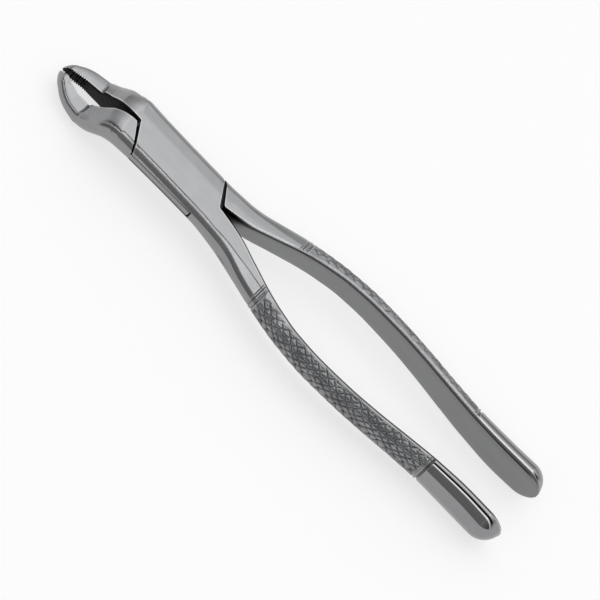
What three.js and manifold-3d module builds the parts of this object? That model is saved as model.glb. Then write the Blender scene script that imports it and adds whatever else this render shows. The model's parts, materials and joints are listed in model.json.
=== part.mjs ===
// Dental extraction forceps of the American pattern: two steel levers that cross in a box joint
// and turn on one rivet, ground flush with both faces of the joint. Millimetres, +Z up.
import * as THREE from 'three';
import { mergeVertices } from 'three/addons/utils/BufferGeometryUtils.js';
import Module from 'manifold-3d';

const wasm = await Module();
wasm.setup();

// Each lever is designed about the pivot: x runs from the beaks (-) to the handles (+), z is the
// pivot's axis, and y is the opening direction.
const TIP_X = -42.3;
const END_X = 135.7;
const END_ROUNDING = 6.2; // length over which the end of a handle rounds off
const TIP_ROUNDING = 2.6; // the same at the tip of a beak

// Box joint: the tongue lever passes through a slot between the box lever's two cheeks.
const FRONT_FACE_HEIGHT = 3.98; // at the pivot; the front face slopes down towards the handles
const FRONT_FACE_SLOPE = -0.05;
const BACK_FACE_HEIGHT = -4.4;
const FACE_FROM_X = -15;
const FACE_TO_X = 13;
const SHOULDER_ROOT_X = 16.3; // where a shoulder leaves the crotch between the levers
const SHOULDER_CORNER_X = 11.3; // where it reaches the side of the joint
const JOINT_HALF_WIDTH = 7.8;
const SHOULDER_GAP = 0.45; // across the shoulder, so that the levers can close a little further
const TONGUE_HALF_THICKNESS = 1.4;
const TONGUE_CLEARANCE = 0.2; // on each face of the tongue
const RIVET_RADIUS = 2.3;
const CHEEK_HOLE_RADIUS = 2.4;
const TONGUE_HOLE_RADIUS = 2.45;

const PITCH = THREE.MathUtils.degToRad(0.5); // levels the beaks and the handle ends on a table

const ARC_SEGMENTS = 12; // along the top of a section, and again along its underside
const ARC_END = THREE.MathUtils.degToRad(5);
const ROUND_SEGMENTS = 32;
const BEYOND_FACES = 14; // a height that is outside the joint

// A smooth curve through [x, value] stations, level at its turning points.
function through(...stations) {
  const secant = (i) =>
    (stations[i + 1][1] - stations[i][1]) / (stations[i + 1][0] - stations[i][0]);
  const slopes = stations.map((_, i) => {
    if (i === 0) return secant(0);
    if (i === stations.length - 1) return secant(i - 1);
    const before = secant(i - 1);
    const after = secant(i);
    return before * after <= 0 ? 0 : (2 * before * after) / (before + after);
  });
  return (x) => {
    let i = 0;
    while (i < stations.length - 2 && x > stations[i + 1][0]) i += 1;
    const [x0, v0] = stations[i];
    const [x1, v1] = stations[i + 1];
    const width = x1 - x0;
    const t = THREE.MathUtils.clamp((x - x0) / width, 0, 1);
    const u = 1 - t;
    return (
      u * u * (1 + 2 * t) * v0 +
      u * u * t * width * slopes[i] +
      t * t * (3 - 2 * t) * v1 -
      t * t * u * width * slopes[i + 1]
    );
  };
}

// Distance from the middle plane y = 0 to a lever's inner face.
const inner = through(
  [-42.3, 0.6], [-40, 0.75], [-37.3, 1.4], [-33.5, 2.35], [-29, 2.75], [-26, 2.1], [-23.3, 1.3],
  [-20.6, 0.7], [-17.8, 0.35], [-16.3, 0.3], [-11, 0], [11, 0], [16.3, 0.35], [21.2, 0.9],
  [26.8, 2.15], [34, 4.75], [43.5, 8.2], [49, 9.7], [57, 11.2], [67, 11.8], [77, 11.6], [88, 10.8],
  [99, 9.6], [110, 8.6], [121, 8.2], [136, 8.3],
);

// Distance from the middle plane to its outer side.
const outer = through(
  [-42.3, 2.9], [-40, 4.1], [-37.3, 6], [-34.5, 7.2], [-31.7, 7.8], [-28, 8.3], [-24.5, 8.6],
  [-20.6, 8.45], [-17, 8.15], [-12, 7.95], [0, 7.75], [13, 7.8], [21, 8.7], [32.4, 11.3],
  [43.5, 14], [54.7, 16], [65.8, 16.8], [77, 16.5], [88, 15.7], [99, 14.6], [110.4, 13.9],
  [121.5, 14], [130, 14.3], [136, 14.4],
);

const top = through(
  [-42.3, -4.6], [-40, -4], [-37.3, -4.4], [-33, -4.9], [-30.5, -4.2], [-27.5, -1.8],
  [-23.3, 2.9], [-20.6, 4.5], [-17.8, 4.95], [-12, 4.8], [0, 4.2], [12, 3.5], [21, 3.15],
  [32, 3.3], [43.5, 3.75], [66, 4], [88, 4.35], [110, 5], [122, 5.3], [136, 5.1],
);

const bottom = through(
  [-42.3, -8.4], [-40, -9.1], [-37.3, -9.7], [-33, -10.4], [-29, -11], [-26, -10.2], [-23, -8.2],
  [-20, -6.2], [-17, -5], [-12, -4.65], [0, -4.5], [12, -4.6], [21, -4.85], [32, -5.3],
  [43.5, -6.1], [66, -7], [88, -7.9], [110, -9], [122, -9.7], [130, -9.3], [136, -8.6],
);

// How square a section is: 2 is an ellipse.
const squareness = through([-42.3, 2.2], [-30, 2.4], [-18, 2.5], [12, 2.5], [30, 2.2], [136, 2.1]);

// A section's size shrinks to a rounded nose at the tip of the beak and the end of the handle.
function nose(x) {
  const intoTip = Math.max(0, 1 - (x - TIP_X) / TIP_ROUNDING);
  const intoEnd = Math.max(0, 1 - (END_X - x) / END_ROUNDING);
  const depth = Math.min(0.985, Math.max(intoTip, intoEnd));
  return Math.sqrt(1 - depth * depth);
}

// How far a shoulder has run from the crotch towards the side of the joint.
function shoulderRun(x) {
  const slope = JOINT_HALF_WIDTH / (SHOULDER_ROOT_X - SHOULDER_CORNER_X);
  return Math.max(0, SHOULDER_ROOT_X - Math.abs(x)) * slope;
}

// The ring of points of a lever's section at x: a superellipse about the inner face, cut flat at
// the inner face. Inside the joint the flat runs out along the shoulder until the ring is whole.
function section(x) {
  const scale = nose(x);
  const centre = inner(x);
  const half = (outer(x) - centre) * scale;
  const middle = (top(x) + bottom(x)) / 2;
  const height = ((top(x) - bottom(x)) / 2) * scale;
  const exponent = 2 / squareness(x);
  const run = Math.min(1, shoulderRun(x) / half);
  const lastAngle = Math.min(Math.PI - ARC_END, Math.acos(-(run ** (1 / exponent))));
  const onFaces = x >= FACE_FROM_X && x <= FACE_TO_X;
  const side = x < 0 ? 1 : -1;
  const arc = [];
  for (let i = 0; i <= ARC_SEGMENTS; i += 1) {
    const angle = ARC_END + ((lastAngle - ARC_END) * i) / ARC_SEGMENTS;
    const c = Math.cos(angle);
    const y = side * (centre + half * Math.sign(c) * Math.abs(c) ** exponent);
    const rise = height * Math.sin(angle) ** exponent;
    arc.push({ y, rise });
  }
  if (side < 0) arc.reverse();
  const front = FRONT_FACE_HEIGHT + FRONT_FACE_SLOPE * x;
  const level = (z) => (onFaces ? THREE.MathUtils.clamp(z, BACK_FACE_HEIGHT, front) : z);
  return [
    ...arc.map((p) => new THREE.Vector3(x, p.y, level(middle + p.rise))),
    ...arc.toReversed().map((p) => new THREE.Vector3(x, p.y, level(middle - p.rise))),
  ];
}

// The places along a lever where a section is made: closer together where the shape turns quickly.
function stationPlaces() {
  const runs = [
    [TIP_X + TIP_ROUNDING, -SHOULDER_ROOT_X, 19],
    [-SHOULDER_ROOT_X, -SHOULDER_CORNER_X, 7],
    [-SHOULDER_CORNER_X, SHOULDER_CORNER_X, 4],
    [SHOULDER_CORNER_X, SHOULDER_ROOT_X, 7],
    [SHOULDER_ROOT_X, 46, 11],
    [46, END_X - END_ROUNDING, 20],
  ];
  const places = runs.flatMap(([from, to, count]) =>
    Array.from({ length: count }, (_, i) => from + ((to - from) * i) / count),
  );
  const noseSteps = [0, 0.12, 0.3, 0.5, 0.7, 0.87];
  const tip = noseSteps.map((t) => TIP_X + TIP_ROUNDING * (1 - Math.cos((t * Math.PI) / 2)));
  const end = noseSteps.map((t) => END_X - END_ROUNDING * (1 - Math.cos((t * Math.PI) / 2)));
  return [...tip, ...places, END_X - END_ROUNDING, ...end.reverse()];
}

// Skins a row of equal rings and closes both ends.
function loft(rings) {
  const count = rings[0].length;
  const positions = rings.flat().flatMap((p) => p.toArray());
  const indices = [];
  for (let r = 0; r < rings.length - 1; r += 1) {
    for (let i = 0; i < count; i += 1) {
      const a = r * count + i;
      const b = r * count + ((i + 1) % count);
      indices.push(a, b, a + count, b, b + count, a + count);
    }
  }
  [0, rings.length - 1].forEach((r, last) => {
    for (let i = 1; i < count - 1; i += 1) {
      const base = r * count;
      if (last) indices.push(base, base + i, base + i + 1);
      else indices.push(base, base + i + 1, base + i);
    }
  });
  const geometry = new THREE.BufferGeometry();
  geometry.setAttribute('position', new THREE.Float32BufferAttribute(positions, 3));
  geometry.setIndex(indices);
  return geometry;
}

function solid(geometry) {
  const bare = geometry.clone();
  bare.deleteAttribute('normal');
  bare.deleteAttribute('uv');
  const merged = mergeVertices(bare, 1e-4);
  return new wasm.Manifold(
    new wasm.Mesh({
      numProp: 3,
      vertProperties: merged.attributes.position.array,
      triVerts: new Uint32Array(merged.index.array),
    }),
  );
}

function geometryOf(manifold) {
  const mesh = manifold.getMesh();
  const geometry = new THREE.BufferGeometry();
  geometry.setAttribute('position', new THREE.BufferAttribute(mesh.vertProperties, 3));
  geometry.setIndex(new THREE.BufferAttribute(mesh.triVerts, 1));
  geometry.computeVertexNormals();
  return geometry;
}

// Turns a shape that is laid out for the box lever into the same shape for the tongue lever.
const mirrored = (geometry) => {
  const copy = geometry.clone().scale(1, -1, 1);
  copy.setIndex([...copy.index.array].reverse());
  return copy;
};

// The four-sided plan between the box lever's two shoulders, widened by gap at each of them.
function jointPlan(gap) {
  const reach = 12;
  const slope = (SHOULDER_ROOT_X - SHOULDER_CORNER_X) / JOINT_HALF_WIDTH;
  const root = SHOULDER_ROOT_X + gap * Math.hypot(1, slope);
  return new THREE.Shape([
    new THREE.Vector2(-root - reach * slope, reach),
    new THREE.Vector2(-root + reach * slope, -reach),
    new THREE.Vector2(root + reach * slope, -reach),
    new THREE.Vector2(root - reach * slope, reach),
  ]);
}

function prism(shape, fromZ, toZ) {
  const geometry = new THREE.ExtrudeGeometry(shape, { depth: toZ - fromZ, bevelEnabled: false });
  const bare = geometry.translate(0, 0, fromZ);
  bare.deleteAttribute('normal');
  bare.deleteAttribute('uv');
  return mergeVertices(bare, 1e-4);
}

function pin(radius) {
  const height = 2 * BEYOND_FACES;
  return new THREE.CylinderGeometry(radius, radius, height, ROUND_SEGMENTS).rotateX(Math.PI / 2);
}

const leverBlank = loft(stationPlaces().map(section));

// The lever with the box: its beak is on the +y side and its handle on the -y side.
function boxLever() {
  const slotHalf = TONGUE_HALF_THICKNESS + TONGUE_CLEARANCE;
  const slot = mirrored(prism(jointPlan(SHOULDER_GAP), -slotHalf, slotHalf));
  return solid(leverBlank)
    .subtract(solid(slot))
    .subtract(solid(pin(CHEEK_HOLE_RADIUS)));
}

// The lever with the tongue: its beak is on the -y side and its handle on the +y side.
function tongueLever() {
  const plan = jointPlan(SHOULDER_GAP);
  return solid(mirrored(leverBlank))
    .subtract(solid(prism(plan, TONGUE_HALF_THICKNESS, BEYOND_FACES)))
    .subtract(solid(prism(plan, -BEYOND_FACES, -TONGUE_HALF_THICKNESS)))
    .subtract(solid(pin(TONGUE_HOLE_RADIUS)));
}

// The rivet is ground off with the joint, so it ends flush with both faces.
function pivotRivet() {
  return solid(pin(RIVET_RADIUS)).intersect(solid(leverBlank));
}

const satinSteel = { color: 0x9a9c9e, metalness: 1, roughness: 0.32 };

function piece(name, geometry, look) {
  const mesh = new THREE.Mesh(geometry, new THREE.MeshStandardMaterial(look));
  mesh.name = name;
  return mesh;
}

const forceps = new THREE.Group();
forceps.add(
  piece('box_lever', geometryOf(boxLever()), satinSteel),
  piece('tongue_lever', geometryOf(tongueLever()), { ...satinSteel, color: 0x949698 }),
  piece('pivot_rivet', geometryOf(pivotRivet()), { ...satinSteel, roughness: 0.25 }),
);
forceps.rotation.y = PITCH;

// The origin is under the middle of the object, on the table that it lies on.
const bounds = new THREE.Box3().setFromObject(forceps, true);
const middle = bounds.getCenter(new THREE.Vector3());
forceps.position.set(-middle.x, -middle.y, -bounds.min.z);

export default forceps;
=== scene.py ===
"""The looks of a pair of dental extraction forceps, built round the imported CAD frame.

Each lever is skinned from sections in the pivot's own frame, in millimetres: x runs from the beaks (-)
to the handles (+), z is the pivot's axis, and y is the way the handles open. to_row() puts the finished
mesh into the row frame, in metres.
"""

import json
import math

import bpy
import numpy as np
from mathutils import Matrix, Vector


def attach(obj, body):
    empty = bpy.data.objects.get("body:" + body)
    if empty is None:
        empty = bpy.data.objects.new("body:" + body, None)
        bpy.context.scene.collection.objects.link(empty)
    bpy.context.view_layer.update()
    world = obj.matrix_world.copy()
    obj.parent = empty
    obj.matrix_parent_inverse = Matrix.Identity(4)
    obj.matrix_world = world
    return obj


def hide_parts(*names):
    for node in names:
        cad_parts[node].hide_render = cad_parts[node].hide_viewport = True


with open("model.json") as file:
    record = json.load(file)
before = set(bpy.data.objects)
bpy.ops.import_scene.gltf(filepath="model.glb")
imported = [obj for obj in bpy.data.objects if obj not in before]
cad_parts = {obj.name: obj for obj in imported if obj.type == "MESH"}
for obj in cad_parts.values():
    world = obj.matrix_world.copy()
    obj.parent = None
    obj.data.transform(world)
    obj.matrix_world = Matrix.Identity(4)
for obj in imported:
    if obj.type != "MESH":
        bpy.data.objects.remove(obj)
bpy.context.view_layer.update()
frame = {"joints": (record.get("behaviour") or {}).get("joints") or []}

# ---------------------------------------------------------------- driving dimensions, millimetres
TIP_X, END_X = -42.3, 135.7
TIP_ROUNDING, END_ROUNDING = 2.6, 6.2

SHOULDER_ROOT_X = 16.3  # where a shoulder of the box leaves the crotch between the levers
SHOULDER_CORNER_X = 11.3  # where it reaches the side of the joint
JOINT_HALF_WIDTH = 7.8
SHOULDER_SLOPE = (SHOULDER_ROOT_X - SHOULDER_CORNER_X) / JOINT_HALF_WIDTH
BEAK_GAP, HANDLE_GAP = 0.45, 0.65  # between the tongue lever and the shoulders
BEAK_ROOT_X = SHOULDER_ROOT_X + BEAK_GAP * math.hypot(1, SHOULDER_SLOPE)
HANDLE_ROOT_X = SHOULDER_ROOT_X + HANDLE_GAP * math.hypot(1, SHOULDER_SLOPE)
SLOT_HALF = 1.6
TONGUE_LOW, TONGUE_HIGH = -1.4, 1.0  # its upper gap shows as the line along the side of the joint
RIVET_RADIUS = 2.3
RIVET_FIT = 0.012  # the hairline round the rivet's ground head
TONGUE_INSET = 0.15  # how far the tongue's edges lie inside the sides of the joint
TONGUE_REACH = 19.0  # how far along x the tongue runs into the beak and the handle
PLAN_REACH = 12.0  # the joint's plan runs this far to either side, past the steel
BEYOND = 14.0  # outside the joint in every direction

# The inner faces of the shanks get painted shade: darkest in the crotch, fading over these x to the
#  lighter painted shade that they keep up to the ends. The border leans with the height.
CROTCH_FADE = (19.5, 28.0)
CROTCH_LEAN = 0.45
INNER_SHADE = 0.27

TEETH_TO_X = -30.8
TOOTH_PITCH = 0.7
TOOTH_DEPTH = 0.6
TOOTH_REACH = 0.5  # how far over the top of a beak the serrations show
TOOTH_START, TOOTH_FADE = (0.2, 1.0), 6.0  # growing past the tip, shrinking before the last one

GRIP_FROM_X, GRIP_TO_X = 42.9, 106.8
KNURL_PITCH_ALONG = 3.1
KNURL_PITCH_AROUND = 2.3
KNURL_HALF_WIDTH = 0.3
KNURL_DEPTH = 0.26
KNURL_SWELL = 0.06  # how far the steel between the cuts rises towards its middle
KNURL_WANDER, KNURL_WAVE = 0.05, 0.9  # how far the cuts wave, in pitches, and how quickly along x
KNURL_SCATTER = 0.16  # how far each cut is out of its place, in pitches
KNURL_FADE = 0.5  # at both ends of the grip
SHALLOWEST_CUT, CUT_SPREAD = 0.7, 0.4  # shares of the depth
SMOOTH_STRIP = 1.1  # left uncut next to the edges of the inner face
STRIP_SCATTER = 1.0  # how much later some cuts start
START_SEED, DEPTH_SEED = 5, 9
CUT_START = 0.7  # over which a cut gets its depth
POLISH_FROM_X = 108.5

ARC_POINTS = 51  # along the top of a section, and again along its underside
FILLET_POINTS = 7
FLAT_POINTS = 4
WALL_POINTS = 2 * FILLET_POINTS + FLAT_POINTS
WALL_ANGLE = math.radians(5)
WALL_SHARE = 0.5  # at most, of the arc, where the wall is next to the outer side
WALL_RANGE = (-math.cos(WALL_ANGLE) ** 0.8, 0.98)  # where an inner face can be, in half widths
DENSE = 260  # points that an arc is traced with before it is spaced out evenly

# The upper edges of the inner faces get a painted highlight: over the bevel, fading into the rounding
# below.
BEVEL_STEPS = [[0.12], [0.5], [0.88]]  # where its points are, from its start to its end
BEVEL_HIGHLIGHT = [1, 1, 1, 0.4]
EDGE_HIGHLIGHT_STEPS = np.array(BEVEL_HIGHLIGHT + [0] * (WALL_POINTS - len(BEVEL_HIGHLIGHT)))
HIGHLIGHT_REACH = 0.32  # how far the painted highlight reaches over the top

# Stretches of a lever and the distance between its sections there.
SPACING = [
    (TIP_X + TIP_ROUNDING, TEETH_TO_X, 0.11),
    (TEETH_TO_X, -17.0, 0.17),
    (-17.0, 17.0, 0.42),
    (17.0, 39.6, 0.45),
    (39.6, 43.0, 0.09),
    (43.0, 106.4, 0.24),
    (106.4, 109.8, 0.09),
    (109.8, END_X - END_ROUNDING, 0.5),
]
NOSE_STEPS = 14
STATION_GAP = 0.05  # the least distance from the last even section to the cut end of a beak or handle
SHARP_ANGLE = math.radians(38)  # edges sharper than this are shaded hard
MILLIMETRE = 0.001


# ---------------------------------------------------------------- profiles along a lever
def through(*stations):
    """A smooth curve through (x, value) stations, level at its turning points."""
    places, values = np.array(stations, float).T
    width = np.diff(places)
    secant = np.diff(values) / width
    before, after = secant[:-1], secant[1:]
    rising = before * after > 0
    total = np.where(rising, before + after, 1)
    slopes = np.concatenate([secant[:1], np.where(rising, 2 * before * after / total, 0), secant[-1:]])

    def curve(x):
        i = np.clip(np.searchsorted(places, x) - 1, 0, len(width) - 1)
        t = np.clip((x - places[i]) / width[i], 0, 1)
        u = 1 - t
        return (
            u * u * (1 + 2 * t) * values[i]
            + u * u * t * width[i] * slopes[i]
            + t * t * (3 - 2 * t) * values[i + 1]
            - t * t * u * width[i] * slopes[i + 1]
        )

    return curve


# From the middle plane to the inner face, and to the outer side.
inner = through(
    (-42.3, 0.6), (-40, 0.75), (-37.3, 1.4), (-33.5, 2.35), (-29, 2.75), (-26, 2.1), (-23.3, 1.3),
    (-20.6, 0.7), (-17.8, 0.35), (-16.3, 0.3), (-11, 0), (11, 0), (16.3, 0.35), (21.2, 0.9), (26.8, 2.15),
    (34, 4.75), (43.5, 8.2), (49, 9.7), (57, 11.2), (67, 11.8), (77, 11.6), (88, 10.8),
    (99, 9.6), (110, 8.6), (121, 8.2), (136, 8.3),
)
outer = through(
    (-42.3, 2.9), (-40, 4.1), (-37.3, 6), (-34.5, 7.2), (-31.7, 7.8), (-28, 8.3), (-24.5, 8.6),
    (-20.6, 8), (-17, 7.85), (-12, 7.7), (0, 7.62), (13, 7.7), (21, 8.65), (32.4, 11.3),
    (43.5, 14), (54.7, 16), (65.8, 16.8), (77, 16.5), (88, 15.7), (99, 14.6), (110.4, 13.9),
    (121.5, 14), (130, 14.3), (136, 14.4),
)
# The crest of the lever's back, of the facet ground into a beak, and of the joint's ground face.
crest = through(
    (-42.3, -4.6), (-40, -3.6), (-37.3, -3.6), (-33, -3.9), (-30.5, -3.7), (-27.5, -1.6),
    (-23.3, 3.2), (-20.6, 4.7), (-17.8, 6), (-12, 8), (8, 7), (14, 3.7), (21, 3.15), (32, 3.3),
    (43.5, 3.75), (66, 4), (88, 4.35), (110, 5), (122, 5.3), (136, 5.1),
)
beak_facet = through(
    (-42.3, -4.7), (-40, -4), (-37.3, -4.4), (-33, -4.9), (-30.2, -4.85), (-29.5, -4.2), (-29, -2),
    (-28.6, 1.5), (-27.4, 12), (136, 12),
)
joint_face = through(
    (-42.3, 6.2), (-12, 4.58), (0, 3.98), (12, 3.38), (17, 3.2), (21, 3.25), (26, 4.2), (30, 8), (136, 12),
)
underside = through(
    (-42.3, -8.4), (-40, -9.1), (-37.3, -9.7), (-33, -10.4), (-29, -11), (-26, -10.2), (-23, -8.2),
    (-20, -6.2), (-17, -5), (-12, -4.65), (0, -4.5), (12, -4.6), (21, -4.85), (32, -5.3), (43.5, -6.1),
    (66, -7), (88, -7.9), (110, -9), (122, -9.7), (130, -9.3), (136, -8.6),
)
# How square each of those surfaces is across the lever: 2 is an ellipse.
crest_squareness = through(
    (-42.3, 2.2), (-30, 2.3), (-25, 2.4), (-21, 3), (-17.5, 5), (8, 5), (16, 4.6), (27, 3.6),
    (34, 3.2), (42, 2.5), (60, 2.2), (136, 2.1),
)
joint_face_squareness = through((-42.3, 4.5), (-21, 4.5), (-16, 6.5), (136, 6.5))
BEAK_FACET_SQUARENESS = 4.0
underside_squareness = through(
    (-42.3, 2.3), (-24, 2.4), (-15, 2.8), (13, 2.8), (30, 2.3), (60, 1.95), (136, 1.8),
)
BEAK_CORNER = 1.3  # how far the end of a beak's facet sweeps back towards its outer side
# The joint's ground face rolls off towards the neck and ends at a border that sweeps back outwards.
FACE_START, FACE_CORNER = -23.4, 4.6
ROLL_OFF, ROLL_LENGTH = 2.05, 6
ROLL_SIDE_SHARE = 0.4  # of the roll-off that is left at the sides
BORDER_SLOPE = 4.0
BORDER_POWER, SIDE_POWER = 5, 4  # the higher, the nearer to the sides a border or a surface bends
# Flats along the outer edge: how far in from the outer side the two bevels start, and the slopes.
upper_bevel = through((-20, 2), (13, 2), (26.6, 3.2), (35, 3.7), (42, 3.9))
lower_bevel = through((-20, 1.2), (13, 1.2), (26.6, 2), (35, 1.4), (42, 1.2))
UPPER_BEVEL_SLOPE, LOWER_BEVEL_SLOPE = 0.58, 0.95
SIDE_FLAT_START, SIDE_FLAT_SLOPE = 0.95, 2.4  # from the start of the lower bevel
BEVEL_DROP = 0.2
BEVEL_BLEND = 0.12
BLEND_RADIUS = 0.3  # where two ground surfaces meet
# The flats and the crease run out of the steel at the neck, and the flats also at the grip.
RUN_OUT = 4.0
RUN_OUT_NECK, RUN_OUT_GRIP = (-20.5, -17.5), (42.3, 46)
# A faint crease along the top of the joint and of the +y shank, where the face starts to fall to +y.
crease_y = through((-20, 2.5), (17, 2.5), (26.6, 4.3), (33.6, 6), (39, 7.5))
CREASE_SLOPE, CREASE_BLEND = 0.08, 0.04

# How far the edges of the inner face are rounded, and the width of the bevel along the upper edge.
edge_rounding = through(
    (-42.3, 0.12), (-20, 0.15), (-16.5, 0.2), (16.5, 0.2), (20, 0.3), (28, 0.45), (40, 0.55),
    (60, 0.65), (110, 0.7), (136, 1),
)
edge_bevel = through(
    (-42.3, 0.1), (-20, 0.14), (-16.5, 0.16), (16.5, 0.16), (20, 0.25), (34, 0.35), (60, 0.35), (136, 0.4),
)
BEVEL_FALL = 0.53
BEVEL_ROUND_SHARE = 0.7  # of the edge's width that is round and not bevelled
LOW_EDGE_SHARE = 0.4  # the lower edge is rounded less
NOSE_ROUNDING = 0.2  # the share of the rounding that is kept at the very ends
ROUNDING_AT_MOST, BEVEL_AT_MOST = 0.3, 0.2  # shares of the height of the inner face
TRIM_AT_MOST = 0.45  # the share of an arc that its edge can take up
# How strong the painted highlight on the upper edges is along the lever.
edge_brightness = through((-42.3, 1), (34, 1), (46, 0.35), (136, 0.35))
NOSE_DEPTH = 0.985  # just short of a point, where a section would shrink to nothing


def smoothstep(low, high, x):
    """0 below low, 1 above high, and a smooth rise between them."""
    t = np.clip((x - low) / (high - low), 0, 1)
    return t * t * (3 - 2 * t)


def smooth_min(a, b, radius=BLEND_RADIUS):
    """The lower of two heights, blended where they are closer than the radius."""
    near = np.clip(radius - np.abs(a - b), 0, None) / radius
    return np.minimum(a, b) - near * near * radius / 4


def outer_bevels(x, outward):
    """Heights of the flats ground along the outer edge of the joint and of the shank."""
    lift = RUN_OUT * (1 - smoothstep(*RUN_OUT_NECK, x) + smoothstep(*RUN_OUT_GRIP, x))
    start = min(crest(x), joint_face(x)) + lift - BEVEL_DROP
    inwards = outer(x) - np.abs(outward)
    turn = start - UPPER_BEVEL_SLOPE * (upper_bevel(x) - lower_bevel(x))
    side = turn - LOWER_BEVEL_SLOPE * SIDE_FLAT_START
    return [
        start - UPPER_BEVEL_SLOPE * (upper_bevel(x) - inwards),
        turn - LOWER_BEVEL_SLOPE * (lower_bevel(x) - inwards),
        side - SIDE_FLAT_SLOPE * (lower_bevel(x) - SIDE_FLAT_START - inwards),
    ]


def creased_top(x, y):
    """Height of the flat that falls away on the +y side of the crease."""
    lift = RUN_OUT * (1 - smoothstep(*RUN_OUT_NECK, x))
    return min(crest(x), joint_face(x)) + lift - CREASE_SLOPE * (y - crease_y(x))


def roll_off(x, reach):
    """How far the joint's face is below its flat part, next to the neck."""
    past_border = x - FACE_START - FACE_CORNER * reach**BORDER_POWER
    fall = ROLL_OFF * (1 - (1 - ROLL_SIDE_SHARE) * reach**SIDE_POWER)
    inside = fall * (1 - np.clip(past_border / ROLL_LENGTH, 0, 1)) ** 2
    return inside - BORDER_SLOPE * np.clip(-past_border, 0, None)


def nose(x):
    """How much a section is scaled down, towards the tip of the beak and the end of the handle."""
    into_tip = 1 - (x - TIP_X) / TIP_ROUNDING
    into_end = 1 - (END_X - x) / END_ROUNDING
    depth = min(NOSE_DEPTH, max(0, into_tip, into_end))
    return math.sqrt(1 - depth * depth)


# ---------------------------------------------------------------- sections
def box_wall(x):
    """Where the inner face of the box lever is: its shoulders run across the whole joint."""
    run = max(0, SHOULDER_ROOT_X - abs(x)) / SHOULDER_SLOPE
    return inner(x) - run


def tongue_wall(x):
    """The inner face of the tongue lever's beak or handle, which stops at the box lever's shoulder."""
    root = BEAK_ROOT_X if x < 0 else HANDLE_ROOT_X
    return inner(x) + max(0, root - abs(x)) / SHOULDER_SLOPE


def resample(points, lengths, start, stop, count):
    at = np.linspace(start, stop, count)
    return np.stack([np.interp(at, lengths, points[:, 0]), np.interp(at, lengths, points[:, 1])], 1), at


def trimmed_arc(points, rounding, count):
    """Evenly spaced points from the outer wall to where the edge rounding starts, their distances from
    the edge of the inner face, and the length of the whole arc."""
    steps = np.hypot(*np.diff(points, axis=0).T)
    lengths = np.concatenate([[0], np.cumsum(steps)])
    cut = min(rounding, TRIM_AT_MOST * lengths[-1])
    arc, at = resample(points, lengths, 0, lengths[-1] - cut, count)
    return arc, lengths[-1] - at, lengths[-1]


def rounded_corner(start, corner, stop, count):
    """Points strictly between start and stop on the curve that a corner is rounded with."""
    t = (np.arange(count) + 0.5)[:, None] / count
    return (1 - t) ** 2 * start + 2 * t * (1 - t) * corner + t**2 * stop


def upper_edge(start, corner, rounding):
    """The bevel and the rounding from the end of the top to the inner face, and where they stop."""
    run = corner[0] - start[0]
    turn = start + np.array([run, -abs(run) * BEVEL_FALL])
    bevel_end = start + (turn - start) * (1 - BEVEL_ROUND_SHARE)
    stop = turn - (0, rounding)
    bevel = start + (bevel_end - start) * np.array(BEVEL_STEPS)
    rounded = rounded_corner(bevel_end, turn, stop, FILLET_POINTS - len(BEVEL_STEPS))
    return np.concatenate([bevel, rounded]), stop


def outline(x, inset, hand):
    """Two functions for a lever's section at x. The first gives the points on the top and on the
    underside at an angle, which is 0 at the outermost line and grows inwards, and the second gives the
    angle at an outward distance. hand is 1 for the box lever and -1 for the tongue lever, which is made
    with its beak on the +y side too and mirrored at the end."""
    scale = nose(x)
    centre = inner(x)
    half = (outer(x) - inset - centre) * scale
    middle = (min(crest(x), beak_facet(x), joint_face(x) - roll_off(x, 0)) + underside(x)) / 2
    power = 2 / crest_squareness(x)

    def surface(level, reach, squareness):
        rise = np.clip(1 - reach**squareness, 0, 1) ** (1 / squareness)
        return middle + (level - middle) * scale * rise

    def points_at(angle):
        across = np.sign(np.cos(angle)) * np.abs(np.cos(angle)) ** power
        reach = np.abs(across)
        outward = centre + half * across
        facet = beak_facet(x + BEAK_CORNER * reach**SIDE_POWER)
        face = joint_face(x) - roll_off(x, reach)
        top = surface(crest(x), reach, crest_squareness(x))
        top = smooth_min(top, surface(face, reach, joint_face_squareness(x)))
        top = smooth_min(top, surface(facet, reach, BEAK_FACET_SQUARENESS))
        y = outward * (hand if x < 0 else -hand)
        top = smooth_min(top, middle + (creased_top(x, y) - middle) * scale, CREASE_BLEND)
        for flat in outer_bevels(x, outward + inset):
            top = smooth_min(top, middle + (flat - middle) * scale, BEVEL_BLEND)
        under = surface(underside(x), reach, underside_squareness(x))
        return np.stack([outward, np.maximum(top, under)], 1), np.stack([outward, under], 1)

    def angle_at(outward):
        share = np.clip((outward - centre) / half, *WALL_RANGE)
        return math.acos(math.copysign(abs(share) ** (1 / power), share))

    return points_at, angle_at


def outer_side(points_at, first_angle):
    """The points up the outer side, between the two arcs."""
    angles = (np.arange(WALL_POINTS) + 0.5) / WALL_POINTS * 2 - 1
    top, under = points_at(np.abs(angles) * first_angle)
    return np.where(angles[:, None] > 0, top, under)


def inner_side(top_end, high_corner, low_corner, under_end, rounding):
    """The points down the inner face with its edges, between the ends of the two arcs."""
    low_stop = low_corner + (0, LOW_EDGE_SHARE * rounding)
    high_edge, high_stop = upper_edge(top_end, high_corner, rounding)
    flat = np.linspace(high_stop, low_stop, FLAT_POINTS + 2)[1:-1]
    low_edge = rounded_corner(low_stop, low_corner, under_end, FILLET_POINTS)
    return np.concatenate([high_edge, flat, low_edge])


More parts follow.
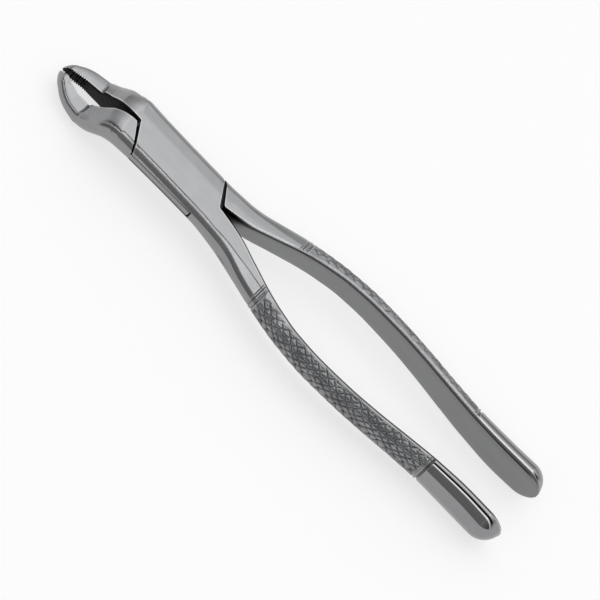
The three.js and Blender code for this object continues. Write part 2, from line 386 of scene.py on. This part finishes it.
def section(x, wall_at, inset, hand):
    """The ring of a lever's section at x as columns: outward distance, height, distance from the edge
    of the inner face, distance round the outside from its outermost line, and the painted highlight."""
    points_at, angle_at = outline(x, inset, hand)
    last_angle = angle_at(wall_at(x))
    first_angle = min(WALL_ANGLE, WALL_SHARE * last_angle)
    upper, lower = points_at(np.linspace(first_angle, last_angle, DENSE))

    wall_height = upper[-1, 1] - lower[-1, 1]
    rounding = min(edge_rounding(x) * max(nose(x), NOSE_ROUNDING), ROUNDING_AT_MOST * wall_height)
    edge_width = rounding + min(edge_bevel(x), BEVEL_AT_MOST * wall_height)
    top, top_from_edge, top_length = trimmed_arc(upper, edge_width, ARC_POINTS)
    under, under_from_edge, under_length = trimmed_arc(lower, LOW_EDGE_SHARE * rounding, ARC_POINTS)
    outside = outer_side(points_at, first_angle)
    inside = inner_side(top[-1], upper[-1], lower[-1], under[-1], rounding)

    ring = np.concatenate([outside, top, inside, under[::-1]])
    from_edge = np.concatenate([
        np.full(WALL_POINTS, top_length), top_from_edge, np.zeros(WALL_POINTS), under_from_edge[::-1],
    ])
    round_outside = np.concatenate([
        outside[:, 1] - outside[:, 1].mean(), top_length - top_from_edge,
        np.zeros(WALL_POINTS), under_from_edge[::-1] - under_length,
    ])
    # The painted highlight: down the bevel and over the top next to the edge.
    highlight = np.concatenate([
        np.zeros(WALL_POINTS), np.clip(1 - (top_from_edge - edge_width) / HIGHLIGHT_REACH, 0, 1),
        EDGE_HIGHLIGHT_STEPS, np.zeros(ARC_POINTS),
    ])
    return np.column_stack([ring, from_edge, round_outside, highlight * edge_brightness(x)])


def outward_normals(ring):
    """Unit normals in the plane of the section, pointing out of the steel."""
    along = np.roll(ring, -1, axis=0) - np.roll(ring, 1, axis=0)
    normals = np.stack([along[:, 1], -along[:, 0]], 1)
    return normals / np.maximum(np.linalg.norm(normals, axis=1, keepdims=True), 1e-9)


# ---------------------------------------------------------------- relief cut into the surface
def scatter(number, seed):
    """A repeatable value from 0 to 1 for each whole number."""
    return np.mod(np.sin(number * 12.9898 + seed * 78.233) * 43758.5453, 1)


def knurl_lines(x, around, from_edge, direction):
    """One family of the slanting cuts across the grip: the depth in them from 0 to 1, and how far the
    steel between them falls away from its middle."""
    steps = x / KNURL_PITCH_ALONG + direction * around / KNURL_PITCH_AROUND
    steps = steps + KNURL_WANDER * np.sin(KNURL_WAVE * x + direction * around)
    cut = np.round(steps)
    spacing = 1 / math.hypot(1 / KNURL_PITCH_ALONG, 1 / KNURL_PITCH_AROUND)
    offset = (steps - cut + KNURL_SCATTER * (scatter(cut, direction) - 0.5)) * spacing
    groove = np.clip(1 - np.abs(offset) / KNURL_HALF_WIDTH, 0, 1)
    starts_at = SMOOTH_STRIP + STRIP_SCATTER * scatter(cut, direction + START_SEED)
    begun = smoothstep(0, CUT_START, from_edge - starts_at)
    fall = (1 - 2 * np.abs(offset) / spacing) ** 2
    depth = SHALLOWEST_CUT + CUT_SPREAD * scatter(cut, direction + DEPTH_SEED)
    return begun * groove * depth, begun * fall


def knurl(x, around, from_edge):
    """The depth in the cuts of both families, and how far the steel between them falls away."""
    begun = smoothstep(GRIP_FROM_X, GRIP_FROM_X + KNURL_FADE, x)
    on_grip = begun * (1 - smoothstep(GRIP_TO_X - KNURL_FADE, GRIP_TO_X, x))
    right_cuts, right_fall = knurl_lines(x, around, from_edge, 1)
    left_cuts, left_fall = knurl_lines(x, around, from_edge, -1)
    return on_grip * np.maximum(right_cuts, left_cuts), on_grip * (right_fall + left_fall)


# Rings turned round a handle before and after the grip, as (x, half width, depth or height).
RING_CUTS = [
    (40.25, 0.14, 0.16), (40.95, 0.15, 0.24), (41.75, 0.14, 0.14), (42.25, 0.16, 0.26),
    (107.05, 0.18, 0.2), (108.1, 0.32, 0.5),
]
RING_BEADS = [(41.4, 0.4, 0.1), (107.55, 0.28, 0.12)]
RINGS_FADE = (0.5, 1.3)  # by the distance from the edge of the inner face
FULLY_CUT = 0.3  # a ring this deep gets as much painted shade as a cut can


def rings_at(x, rings):
    return sum(size * np.exp(-(((x - place) / half_width) ** 2)) for place, half_width, size in rings)


def relief(x, around, from_edge):
    """How far the surface is moved out along its normal, and how deep in a cut it is from 0 to 1."""
    off_edge = smoothstep(*RINGS_FADE, from_edge)
    rings = off_edge * rings_at(x, RING_CUTS)
    beads = off_edge * rings_at(x, RING_BEADS)
    cuts, fall = knurl(x, around, from_edge)
    out = beads - rings - KNURL_DEPTH * cuts - KNURL_SWELL * fall
    return out, np.clip(rings / FULLY_CUT + cuts, 0, 1)


def tooth(x):
    """How far the serrations are cut into the inner face of a beak."""
    phase = np.mod((x - TIP_X) / TOOTH_PITCH, 1)
    grown = smoothstep(*TOOTH_START, x - TIP_X)
    fade = grown * (1 - smoothstep(TEETH_TO_X - TOOTH_FADE, TEETH_TO_X, x))
    return TOOTH_DEPTH * (1 - abs(2 * phase - 1)) * fade


def shaped_section(x, wall_at, inset, hand):
    """Points (x, y, z) of the finished section of a lever whose beak is on the +y side, and with them
    their depth in the cuts and their painted highlight. The ring starts at the bottom of the +y side and
    goes over the top."""
    columns = section(x, wall_at, inset, hand)
    ring, from_edge, around, highlight = columns[:, :2], *columns[:, 2:].T
    out, depth = relief(x, around, from_edge)
    ring = ring + outward_normals(ring) * out[:, None]
    if x < TEETH_TO_X:
        ring[:, 0] += tooth(x) * np.clip(1 - from_edge / TOOTH_REACH, 0, 1)
    if x > 0:
        blocks = [WALL_POINTS + ARC_POINTS, 2 * WALL_POINTS + ARC_POINTS]
        outer_up, top, inner_down, under = np.split(np.arange(len(ring)), [WALL_POINTS, *blocks])
        order = np.concatenate([inner_down[::-1], top[::-1], outer_up[::-1], under[::-1]])
        ring, depth, highlight = ring[order] * (-1, 1), depth[order], highlight[order]
    return np.column_stack([np.full(len(ring), x), ring, depth, highlight])


# ---------------------------------------------------------------- meshes
def station_places():
    """The x of every section of a lever."""
    turns = np.linspace(0, 1, NOSE_STEPS, endpoint=False) * math.pi / 2
    tip = TIP_X + TIP_ROUNDING * (1 - np.cos(turns))
    end = END_X - END_ROUNDING * (1 - np.cos(turns))
    runs = []
    for start, stop, step in SPACING:
        runs.append(np.linspace(start, stop, math.ceil((stop - start) / step), endpoint=False))
    return np.concatenate([tip, *runs, [END_X - END_ROUNDING], end[::-1]])


def new_mesh(name, vertices, faces):
    mesh = bpy.data.meshes.new(name)
    mesh.from_pydata(vertices.tolist(), [], faces)
    mesh.validate()
    return mesh


def loft(name, places, wall_at, hand, inset=0):
    """Skins the sections at places and closes both ends."""
    rings = [shaped_section(float(x), wall_at, inset, hand) for x in places]
    count = len(rings[0])
    start = np.arange(len(rings) - 1)[:, None] * count
    i, following = np.arange(count), np.roll(np.arange(count), -1)
    quads = np.stack([start + i, start + following, start + count + following, start + count + i], 2)
    faces = quads.reshape(-1, 4).tolist()
    faces.append(list(range(count))[::-1])
    faces.append(list(range((len(rings) - 1) * count, len(rings) * count)))
    points = np.concatenate(rings)
    mesh = new_mesh(name, points[:, :3], faces)
    # The depth in the cuts, which also darkens the colour there as painted shade, and the painted
    # highlight on the edges.
    for attribute_name, values in (("cut_depth", points[:, 3]), ("painted_edge_highlight", points[:, 4])):
        mesh.attributes.new(attribute_name, "FLOAT", "POINT").data.foreach_set("value", values)
    return mesh


def prism(name, plan, low, high):
    """A solid with the plan outline, counterclockwise, between two heights."""
    count = len(plan)
    vertices = np.array([(x, y, z) for z in (low, high) for x, y in plan])
    sides = [(i, (i + 1) % count, count + (i + 1) % count, count + i) for i in range(count)]
    return new_mesh(name, vertices, [*sides, tuple(range(count))[::-1], tuple(range(count, 2 * count))])


def rod(name, radius, count=96):
    """A round rod along the pivot's axis, right through the joint."""
    turn = 2 * math.pi / count
    circle = [(radius * math.cos(i * turn), radius * math.sin(i * turn)) for i in range(count)]
    return prism(name, circle, -BEYOND, BEYOND)


def boolean(mesh, operation, other):
    """Applies a boolean to the mesh and returns the new mesh. The other mesh is used up."""
    body = bpy.data.objects.new("body", mesh)
    tool = bpy.data.objects.new("tool", other)
    for o in (body, tool):
        bpy.context.scene.collection.objects.link(o)
    modifier = body.modifiers.new("boolean", "BOOLEAN")
    modifier.operation = operation
    modifier.object = tool
    modifier.solver = "MANIFOLD"
    graph = bpy.context.evaluated_depsgraph_get()
    result = bpy.data.meshes.new_from_object(body.evaluated_get(graph))
    for o in (body, tool):
        bpy.data.objects.remove(o)
    return result


def mirror_across(mesh):
    """Swaps the +y and the -y side."""
    mesh.transform(Matrix.Scale(-1, 4, (0, 1, 0)))
    mesh.flip_normals()
    return mesh


def joint_plan():
    """The four-sided plan between the tongue lever's two shoulders."""
    lean = PLAN_REACH * SHOULDER_SLOPE
    left, right = -BEAK_ROOT_X, BEAK_ROOT_X
    low = [(left - lean, -PLAN_REACH), (right - lean, -PLAN_REACH)]
    return low + [(right + lean, PLAN_REACH), (left + lean, PLAN_REACH)]


def square(half):
    return [(-half, -half), (half, -half), (half, half), (-half, half)]


def box_lever_mesh():
    """The box lever, and the rivet ground flush with it."""
    blank = loft("box_blank", station_places(), box_wall, 1)
    rivet = boolean(blank.copy(), "INTERSECT", rod("pin", RIVET_RADIUS))
    body = boolean(blank, "DIFFERENCE", prism("slot", joint_plan(), -SLOT_HALF, SLOT_HALF))
    return boolean(body, "DIFFERENCE", rod("hole", RIVET_RADIUS + RIVET_FIT)), rivet


def tongue_mesh(places):
    """The flat tongue, a layer of a slab that is a little narrower than the joint."""
    in_reach = places[np.abs(places) < TONGUE_REACH]
    slab = loft("slab", in_reach, lambda x: box_wall(x) + TONGUE_INSET, -1, TONGUE_INSET)
    layer = prism("layer", square(BEYOND + TONGUE_REACH), TONGUE_LOW, TONGUE_HIGH)
    return boolean(slab, "INTERSECT", layer)


def tongue_lever_mesh():
    places = station_places()
    beak_stop = BEAK_ROOT_X - SHOULDER_ROOT_X + SHOULDER_CORNER_X
    handle_stop = HANDLE_ROOT_X - SHOULDER_ROOT_X + SHOULDER_CORNER_X
    beak_places = np.append(places[places < -beak_stop - STATION_GAP], -beak_stop)
    handle_places = np.append(handle_stop, places[places > handle_stop + STATION_GAP])
    beak = loft("beak", beak_places, tongue_wall, -1)
    handle = loft("handle", handle_places, tongue_wall, -1)
    body = boolean(boolean(beak, "UNION", tongue_mesh(places)), "UNION", handle)
    return mirror_across(boolean(body, "DIFFERENCE", rod("hole", RIVET_RADIUS + RIVET_FIT)))


# ---------------------------------------------------------------- materials
def add(tree, kind, **inputs):
    """A node of this kind with values on its sockets, given by name with _ for each space."""
    node = tree.nodes.new(kind)
    for name, value in inputs.items():
        node.inputs[name.replace("_", " ")].default_value = value
    return node


def streaks(tree, along, across, detail):
    """Noise stretched along the lever. Sizes of its features are in metres."""
    place = add(tree, "ShaderNodeTexCoord")
    stretch = add(tree, "ShaderNodeMapping", Scale=(1 / along, 1 / across, 1 / across))
    noise = add(tree, "ShaderNodeTexNoise", Scale=1.0, Detail=detail, Roughness=0.6)
    tree.links.new(place.outputs["Object"], stretch.inputs["Vector"])
    tree.links.new(stretch.outputs["Vector"], noise.inputs["Vector"])
    return noise.outputs["Fac"]


def spread(tree, value, low, high, at_low=0.3, at_high=0.7):
    """The value mapped from at_low to at_high onto low to high, and clamped."""
    node = add(tree, "ShaderNodeMapRange", From_Min=at_low, From_Max=at_high, To_Min=low, To_Max=high)
    tree.links.new(value, node.inputs["Value"])
    return node.outputs["Result"]


def attribute(tree, name):
    """The value that the mesh stores under this name."""
    node = add(tree, "ShaderNodeAttribute")
    node.attribute_name = name
    return node.outputs["Fac"]


def arithmetic(tree, operation, a, b):
    """A Math node's result for a and b, each a number or a socket."""
    node = add(tree, "ShaderNodeMath")
    node.operation = operation
    for socket, value in zip(node.inputs, (a, b)):
        if isinstance(value, (int, float)):
            socket.default_value = value
        else:
            tree.links.new(value, socket)
    return node.outputs["Value"]


def between(tree, amount, first, second):
    """A mix of two colours, each a triple or a socket."""
    node = add(tree, "ShaderNodeMix")
    node.data_type = "RGBA"
    node.clamp_factor = True
    sockets = [socket for socket in node.inputs if socket.type == "RGBA"]
    for socket, colour in zip(sockets, (first, second)):
        if isinstance(colour, tuple):
            socket.default_value = (*colour, 1)
        else:
            tree.links.new(colour, socket)
    tree.links.new(amount, node.inputs["Factor"])
    return next(socket for socket in node.outputs if socket.type == "RGBA")


# The near black of the painted shade on the inner faces of the shanks.
CROTCH_SHADE_COLOUR = (0.012, 0.012, 0.013)
# The grey of the painted highlight on the upper edges of the inner faces.
HIGHLIGHT_GREY = (0.5, 0.502, 0.507)
BUMP_DISTANCE = 0.00004
ROUGHNESS_SPREAD = (0.9, 1.12)
CUT_ROUGHNESS = 0.12  # added in the cuts
HAIRLINE_FROM, HAIRLINE_TO = 0.62, 0.72  # the noise levels between which a hairline gets its depth
# Specular level, roughness and bump of the near black that paints the shade on the beaks' inner faces.
SHADE_BLACK_SPECULAR, SHADE_BLACK_ROUGHNESS, SHADE_BLACK_BUMP = 0.12, (0.45, 0.6), 0.2


def new_material(name):
    """A material, its node tree and its shader."""
    material = bpy.data.materials.new(name)
    material.use_nodes = True
    return material, material.node_tree, material.node_tree.nodes["Principled BSDF"]


def steel(name, dark, light, roughness, grain, scratches):
    """Bare steel: mottled between two colours, rougher in the cuts and darker there with painted shade,
    with painted shade on the inner faces of the shanks and a painted highlight on the upper edges of
    the inner faces.
    """
    material, tree, shader = new_material(name)
    shader.inputs["Metallic"].default_value = 1.0

    mottle = spread(tree, streaks(tree, along=0.006, across=0.003, detail=3), 0, 1)
    cut = attribute(tree, "cut_depth")
    # The colour is darkened in the cuts: painted shade.
    colour = between(tree, arithmetic(tree, "SUBTRACT", mottle, cut), dark, light)
    # The painted highlight on the upper edges of the inner faces.
    highlighted = between(tree, attribute(tree, "painted_edge_highlight"), colour, HIGHLIGHT_GREY)
    # Painted shade on the inner faces of the shanks, darkest in the crotch.
    shaded = between(tree, attribute(tree, "crotch_shade"), highlighted, CROTCH_SHADE_COLOUR)
    tree.links.new(shaded, shader.inputs["Base Color"])

    least, most = (roughness * share for share in ROUGHNESS_SPREAD)
    fine = spread(tree, streaks(tree, along=0.0008, across=0.00012, detail=2), least, most)
    rough = arithmetic(tree, "MULTIPLY_ADD", cut, CUT_ROUGHNESS)
    tree.links.new(fine, rough.node.inputs[2])
    tree.links.new(rough, shader.inputs["Roughness"])

    bump = add(tree, "ShaderNodeBump", Strength=grain, Distance=BUMP_DISTANCE)
    long_streaks = streaks(tree, along=0.004, across=0.00006, detail=1)
    hairlines = spread(tree, long_streaks, 0, scratches, HAIRLINE_FROM, HAIRLINE_TO)
    brushing = streaks(tree, along=0.0006, across=0.00008, detail=2)
    height = arithmetic(tree, "SUBTRACT", brushing, hairlines)
    tree.links.new(height, bump.inputs["Height"])
    tree.links.new(bump.outputs["Normal"], shader.inputs["Normal"])
    return material


def painted_shade_black(name, dark, light):
    """Near black, uneven in tone: painted shade for a face that lies in shade."""
    material, tree, shader = new_material(name)
    shader.inputs["Specular IOR Level"].default_value = SHADE_BLACK_SPECULAR
    mottle = spread(tree, streaks(tree, along=0.002, across=0.001, detail=3), 0, 1)
    tree.links.new(between(tree, mottle, dark, light), shader.inputs["Base Color"])
    rough = spread(tree, streaks(tree, along=0.0008, across=0.0004, detail=2), *SHADE_BLACK_ROUGHNESS)
    tree.links.new(rough, shader.inputs["Roughness"])
    bump = add(tree, "ShaderNodeBump", Strength=SHADE_BLACK_BUMP, Distance=BUMP_DISTANCE)
    grains = streaks(tree, along=0.0004, across=0.0002, detail=2)
    tree.links.new(grains, bump.inputs["Height"])
    tree.links.new(bump.outputs["Normal"], shader.inputs["Normal"])
    return material


def finishes():
    """The materials of the levers' faces, by the names in FINISH_ORDER."""
    return {
        "satin": steel(
            "satin_steel", dark=(0.262, 0.264, 0.269), light=(0.28, 0.282, 0.287),
            roughness=0.22, grain=0.03, scratches=0.12,
        ),
        # Its dark colour is reached only in the cuts: painted shade.
        "grip": steel(
            "cut_steel", dark=(0.14, 0.142, 0.147), light=(0.31, 0.312, 0.317),
            roughness=0.2, grain=0.1, scratches=0.3,
        ),
        "polished": steel(
            "polished_steel", dark=(0.26, 0.262, 0.267), light=(0.28, 0.282, 0.287),
            roughness=0.07, grain=0.01, scratches=0.15,
        ),
        # Dark steel on the joint's contact faces: painted shade in its narrow gaps.
        "gap_shade": steel(
            "gap_shade_steel", dark=(0.06, 0.061, 0.063), light=(0.09, 0.091, 0.094),
            roughness=0.34, grain=0.08, scratches=0.3,
        ),
        # The beaks' inner faces are near black: painted shade.
        "jaw": painted_shade_black("jaw_painted_shade", dark=(0.005, 0.005, 0.0055), light=(0.011, 0.011, 0.0115)),
    }


# ---------------------------------------------------------------- pieces
FINISH_ORDER = ("satin", "grip", "polished", "jaw", "gap_shade")
# How far a face's normal has to lean a way to count as facing it.
FACING_IN, FACING_ALONG, FACING_UP, LEVEL_AT_MOST = 0.45, 0.55, 0.9, 0.4
INNER_MARGIN = 0.25  # past the deepest serration
JOINT_MARGIN = 0.2  # past the shoulders
SLOT_MARGIN = 0.05


def dress(mesh, looks, hand):
    """Gives each face of a lever its finish. hand is 1 if the beak is on the +y side."""
    count = len(mesh.polygons)
    centres, normals = np.empty(count * 3), np.empty(count * 3)
    mesh.polygons.foreach_get("center", centres)
    mesh.polygons.foreach_get("normal", normals)
    x, y, z = centres.reshape(-1, 3).T
    facing_x, facing_y, facing_z = normals.reshape(-1, 3).T
    facing_in = facing_y * np.where(x < 0, -hand, hand)
    near_inner_face = np.abs(y) < inner(x) + TOOTH_DEPTH + INNER_MARGIN
    on_inner_face = (facing_in > FACING_IN) & near_inner_face
    on_shoulder = (np.abs(facing_x) > FACING_ALONG) & (np.abs(facing_z) < LEVEL_AT_MOST)
    on_tongue = (np.abs(facing_z) > FACING_UP) & (np.abs(z) < SLOT_HALF + SLOT_MARGIN)
    in_joint = (np.abs(x) < HANDLE_ROOT_X + JOINT_MARGIN) & (on_shoulder | on_tongue)
    which = np.full(count, FINISH_ORDER.index("satin"))
    which[(x > GRIP_FROM_X) & (x < GRIP_TO_X) & ~on_inner_face] = FINISH_ORDER.index("grip")
    which[(x > POLISH_FROM_X) & ~on_inner_face] = FINISH_ORDER.index("polished")
    # Painted shade on the beaks' inner faces.
    which[(x < -SHOULDER_ROOT_X) & on_inner_face] = FINISH_ORDER.index("jaw")
    # The joint's contact faces get the dark steel that paints the shade in its gaps.
    which[in_joint] = FINISH_ORDER.index("gap_shade")
    # Painted shade on the inner faces of the shanks: darkest in the crotch, lighter towards the ends.
    in_crotch = 1 - smoothstep(*CROTCH_FADE, x - CROTCH_LEAN * z)
    shade = np.where((x > 0) & on_inner_face, np.maximum(in_crotch, INNER_SHADE), 0)
    mesh.attributes.new("crotch_shade", "FLOAT", "FACE").data.foreach_set("value", shade)
    mesh.materials.clear()
    for name in FINISH_ORDER:
        mesh.materials.append(looks[name])
    mesh.polygons.foreach_set("material_index", which)


def to_row():
    """From millimetres in the pivot's frame to metres in the row frame."""
    joint = frame["joints"][0]
    axis = Vector(joint["axis"])
    pitch = math.atan2(axis.x, axis.z)
    turned = Matrix.Translation(joint["pos_m"]) @ Matrix.Rotation(pitch, 4, "Y")
    return turned @ Matrix.Scale(MILLIMETRE, 4)


def piece(name, mesh, node, body):
    """Puts a finished mesh in the scene, in place of its CAD node."""
    mesh.name = name
    mesh.transform(to_row())
    mesh.shade_smooth()
    mesh.set_sharp_from_angle(angle=SHARP_ANGLE)
    made = bpy.data.objects.new(name, mesh)
    bpy.context.scene.collection.objects.link(made)
    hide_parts(node)
    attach(made, body)


def forceps():
    looks = finishes()
    box, rivet = box_lever_mesh()
    tongue = tongue_lever_mesh()
    dress(box, looks, 1)
    dress(tongue, looks, -1)
    rivet.materials.clear()
    rivet.materials.append(looks["satin"])
    piece("box_lever_steel", box, "box_lever", "box_lever_body")
    piece("tongue_lever_steel", tongue, "tongue_lever", "tongue_lever_body")
    piece("rivet_steel_pin", rivet, "pivot_rivet", "box_lever_body")


# ---------------------------------------------------------------- studio
FLOOR_SIZE = 5.0
FLOOR_DROP = 0.0002  # below the lowest points of the forceps

# Brightness of the studio by the angle from straight up, in degrees, positive towards -y:
# an overhead soft box with a narrow gap and a strip light at its edge, then a dim wall.
OVERHEAD = [
    (90, 0.34), (80, 0.36), (55, 0.36), (36.5, 0.4), (35, 2.9), (28, 3), (26.5, 1.2), (25.5, 0.03),
    (12, 0.03), (10.5, 1.5), (0, 1.8), (-29, 1.92), (-37, 1.3), (-55, 1.25), (-68, 0.95), (-80, 0.5),
    (-90, 0.4),
]
# How it falls off towards the ends of the forceps, by the sideways share of the direction.
SIDEWAYS = [
    (0, 0.8), (0.12, 0.8), (0.17, 1), (0.22, 1), (0.28, 0.78), (0.44, 0.66), (0.66, 0.44), (0.8, 0.28),
    (1, 0.28),
]
END_LIGHT, END_LIGHT_FROM = 1.0, (0.78, 0.96)  # and past these shares a light at each end takes over
BRIGHTEST = 3.0  # of the levels in OVERHEAD
OVERALL = 3.5  # the brightness of the brightest direction
BACKDROP = 0.93  # what the camera sees past the floor
FLOOR_GREY, FLOOR_GLOW = 0.32, 0.66  # it glows a little, so that it stays pale under a dim studio


def ramp(tree, value, stops):
    """A grey level by the value, from (position, level) stops."""
    node = add(tree, "ShaderNodeValToRGB")
    elements = node.color_ramp.elements
    for position, level in stops[:-1]:
        elements.new(position).color = (level, level, level, 1)
    elements[-1].position, elements[-1].color = stops[-1][0], (stops[-1][1],) * 3 + (1,)
    elements.remove(elements[0])
    tree.links.new(value, node.inputs["Fac"])
    return node.outputs["Color"]


def studio_world():
    world = bpy.data.worlds.new("studio")
    bpy.context.scene.world = world
    world.use_nodes = True
    tree = world.node_tree
    light = tree.nodes["Background"]
    direction = add(tree, "ShaderNodeSeparateXYZ")
    tree.links.new(add(tree, "ShaderNodeTexCoord").outputs["Generated"], direction.inputs["Vector"])
    across = spread(tree, direction.outputs["Y"], 0, 1, -1, 1)
    stops = [((1 - math.sin(math.radians(angle))) / 2, level / BRIGHTEST) for angle, level in OVERHEAD]
    overhead = ramp(tree, across, stops)
    sideways_share = arithmetic(tree, "ABSOLUTE", direction.outputs["X"], 0)
    both = arithmetic(tree, "MULTIPLY", overhead, ramp(tree, sideways_share, SIDEWAYS))
    lit = arithmetic(tree, "MULTIPLY", both, OVERALL)
    towards_ends = spread(tree, sideways_share, 0, 1, *END_LIGHT_FROM)
    tree.links.new(between(tree, towards_ends, lit, (END_LIGHT,) * 3), light.inputs["Color"])

    backdrop = add(tree, "ShaderNodeBackground", Color=(BACKDROP,) * 3 + (1,), Strength=1.0)
    mix = add(tree, "ShaderNodeMixShader")
    tree.links.new(add(tree, "ShaderNodeLightPath").outputs["Is Camera Ray"], mix.inputs["Fac"])
    tree.links.new(light.outputs["Background"], mix.inputs[1])
    tree.links.new(backdrop.outputs["Background"], mix.inputs[2])
    tree.links.new(mix.outputs["Shader"], tree.nodes["World Output"].inputs["Surface"])


def studio_floor():
    corners = np.array([(x, y, 0) for x, y in square(FLOOR_SIZE / 2)])
    floor = bpy.data.objects.new("floor", new_mesh("floor", corners, [(0, 1, 2, 3)]))
    floor.location.z = -FLOOR_DROP
    bpy.context.scene.collection.objects.link(floor)
    material, _, shader = new_material("pale_floor")
    shader.inputs["Base Color"].default_value = (FLOOR_GREY,) * 3 + (1,)
    shader.inputs["Roughness"].default_value = 0.9
    shader.inputs["Specular IOR Level"].default_value = 0.0
    shader.inputs["Emission Color"].default_value = (1, 1, 1, 1)
    shader.inputs["Emission Strength"].default_value = FLOOR_GLOW
    floor.data.materials.append(material)


# The camera looks at the joint from 28 degrees to the -y side of the pivot's axis, and is turned 45
# degrees so that the handles run down and to the right.
CAMERA_TILT = math.radians(28)
CAMERA_DISTANCE = 2400.0
FIELD_WIDTH = 167.1
AIM_ALONG, AIM_ACROSS = 50.3, -1.5
SENSOR_WIDTH = 36.0


def studio_camera():
    along = Vector((1, 0, 0))
    across = Vector((0, math.cos(CAMERA_TILT), math.sin(CAMERA_TILT)))
    back = along.cross(across)
    right, up = (along + across) / math.sqrt(2), (across - along) / math.sqrt(2)
    turn = Matrix((right, up, back)).transposed().to_4x4()
    place = Matrix.Translation(along * AIM_ALONG + across * AIM_ACROSS + back * CAMERA_DISTANCE)
    data = bpy.data.cameras.new("camera")
    data.sensor_width = SENSOR_WIDTH
    data.lens = SENSOR_WIDTH * CAMERA_DISTANCE / FIELD_WIDTH
    data.clip_start, data.clip_end = 0.01, 20
    camera = bpy.data.objects.new("camera", data)
    location, rotation, _ = (to_row() @ place @ turn).decompose()
    camera.location = location
    camera.rotation_mode = "QUATERNION"
    camera.rotation_quaternion = rotation
    bpy.context.scene.collection.objects.link(camera)
    bpy.context.scene.camera = camera


forceps()
studio_world()
studio_floor()
studio_camera()
bpy.context.scene.view_settings.view_transform = "Standard"
